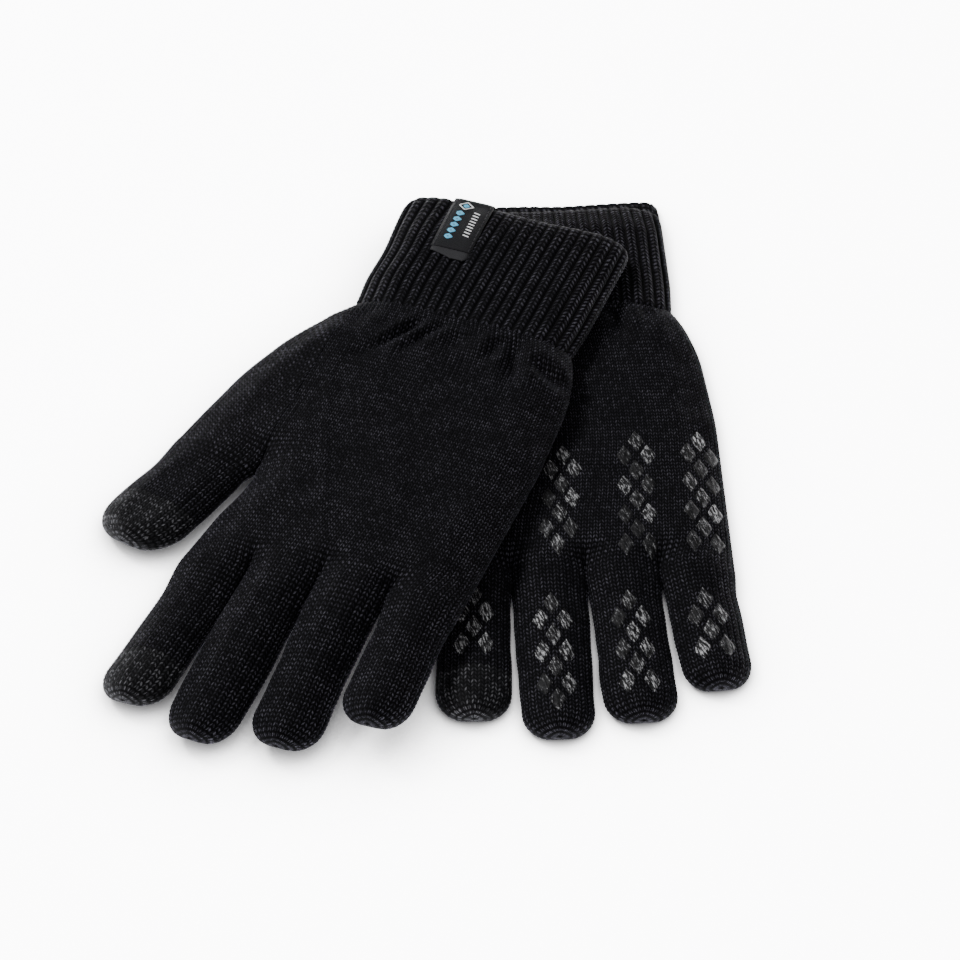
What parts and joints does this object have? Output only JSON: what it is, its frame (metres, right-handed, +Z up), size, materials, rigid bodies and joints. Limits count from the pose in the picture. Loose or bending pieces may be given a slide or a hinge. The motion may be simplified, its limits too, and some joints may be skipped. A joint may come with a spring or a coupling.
{
  "type": "touchscreen gloves",
  "caption": "Pair of black stretch-knit touchscreen gloves lying one on the other, with ribbed cuffs, conductive fingertips, printed diamond palm grips and a cuff label.",
  "frame": {"origin": "middle of the pair's footprint, on the surface it lies on", "axes": "+Y from the fingertips towards the cuffs, +Z up"},
  "size_m": [0.193, 0.25, 0.021],
  "materials": {
    "rib_knit": "matte",
    "black_knit": "matte",
    "touch_yarn": "matte",
    "grip_silicone": "satin",
    "label_satin": "satin",
    "label_tab": "satin",
    "thread": "satin"
  },
  "bodies": {
    "right_glove": {"right_cuff": "rib_knit", "right_hand": "black_knit", "right_palm_grip_index": "grip_silicone", "right_palm_grip_middle": "grip_silicone", "right_palm_grip_ring": "grip_silicone", "right_palm_grip_little": "grip_silicone"},
    "right_thumb": {"right_thumb": "black_knit", "right_thumb_touch_tip": "touch_yarn"},
    "right_index_finger": {"right_index_finger": "black_knit", "right_index_finger_touch_tip": "touch_yarn", "right_index_finger_grip": "grip_silicone"},
    "right_middle_finger": {"right_middle_finger": "black_knit", "right_middle_finger_grip": "grip_silicone"},
    "right_ring_finger": {"right_ring_finger": "black_knit", "right_ring_finger_grip": "grip_silicone"},
    "right_little_finger": {"right_little_finger": "black_knit", "right_little_finger_grip": "grip_silicone"},
    "left_glove": {"left_cuff": "rib_knit", "left_hand": "black_knit", "left_palm_grip_index": "grip_silicone", "left_palm_grip_middle": "grip_silicone", "left_palm_grip_ring": "grip_silicone", "left_palm_grip_little": "grip_silicone", "left_label": "label_satin", "left_label_tab": "label_tab", "left_label_stitches": "thread"},
    "left_thumb": {"left_thumb": "black_knit", "left_thumb_touch_tip": "touch_yarn"},
    "left_index_finger": {"left_index_finger": "black_knit", "left_index_finger_touch_tip": "touch_yarn", "left_index_finger_grip": "grip_silicone"},
    "left_middle_finger": {"left_middle_finger": "black_knit", "left_middle_finger_grip": "grip_silicone"},
    "left_ring_finger": {"left_ring_finger": "black_knit", "left_ring_finger_grip": "grip_silicone"},
    "left_little_finger": {"left_little_finger": "black_knit", "left_little_finger_grip": "grip_silicone"}
  },
  "joints": [
    {"name": "left_glove_lift", "type": "slide", "parent": "right_glove", "child": "left_glove", "axis": [0, 0, 1], "range_m": [0, 0.1]},
    {"name": "right_thumb_swing", "type": "hinge", "parent": "right_glove", "child": "right_thumb", "pos_m": [-0.00534, -0.0065, 0.004], "axis": [0, 0, 1], "range_deg": [-10, 3]},
    {"name": "right_index_finger_swing", "type": "hinge", "parent": "right_glove", "child": "right_index_finger", "pos_m": [0.01586, -0.05252, 0.004], "axis": [0, 0, 1], "range_deg": [-8, 0]},
    {"name": "right_middle_finger_fold", "type": "hinge", "parent": "right_glove", "child": "right_middle_finger", "pos_m": [0.03829, -0.05589, 0.004], "axis": [-0.9994, -0.0349, 0], "range_deg": [0, 90]},
    {"name": "right_ring_finger_fold", "type": "hinge", "parent": "right_glove", "child": "right_ring_finger", "pos_m": [0.06062, -0.05471, 0.004], "axis": [-0.9976, -0.0698, 0], "range_deg": [0, 90]},
    {"name": "right_little_finger_fold", "type": "hinge", "parent": "right_glove", "child": "right_little_finger", "pos_m": [0.08268, -0.0539, 0.004], "axis": [-0.9945, -0.1045, 0], "range_deg": [0, 90]},
    {"name": "left_thumb_fold", "type": "hinge", "parent": "left_glove", "child": "left_thumb", "pos_m": [-0.06504, -0.00416, 0.0063], "axis": [-0.8104, 0.578, -0.0958], "range_deg": [0, 90]},
    {"name": "left_index_finger_fold", "type": "hinge", "parent": "left_glove", "child": "left_index_finger", "pos_m": [-0.06338, -0.05578, 0.006], "axis": [-0.912, 0.3966, -0.1045], "range_deg": [0, 90]},
    {"name": "left_middle_finger_fold", "type": "hinge", "parent": "left_glove", "child": "left_middle_finger", "pos_m": [-0.0422, -0.06331, 0.0116], "axis": [-0.9304, 0.3665, 0], "range_deg": [0, 90]},
    {"name": "left_ring_finger_fold", "type": "hinge", "parent": "left_glove", "child": "left_ring_finger", "pos_m": [-0.02126, -0.07113, 0.0146], "axis": [-0.9426, 0.3338, 0], "range_deg": [0, 90]},
    {"name": "left_little_finger_fold", "type": "hinge", "parent": "left_glove", "child": "left_little_finger", "pos_m": [-0.0007, -0.07919, 0.0146], "axis": [-0.9537, 0.3007, 0], "range_deg": [0, 90]}
  ]
}
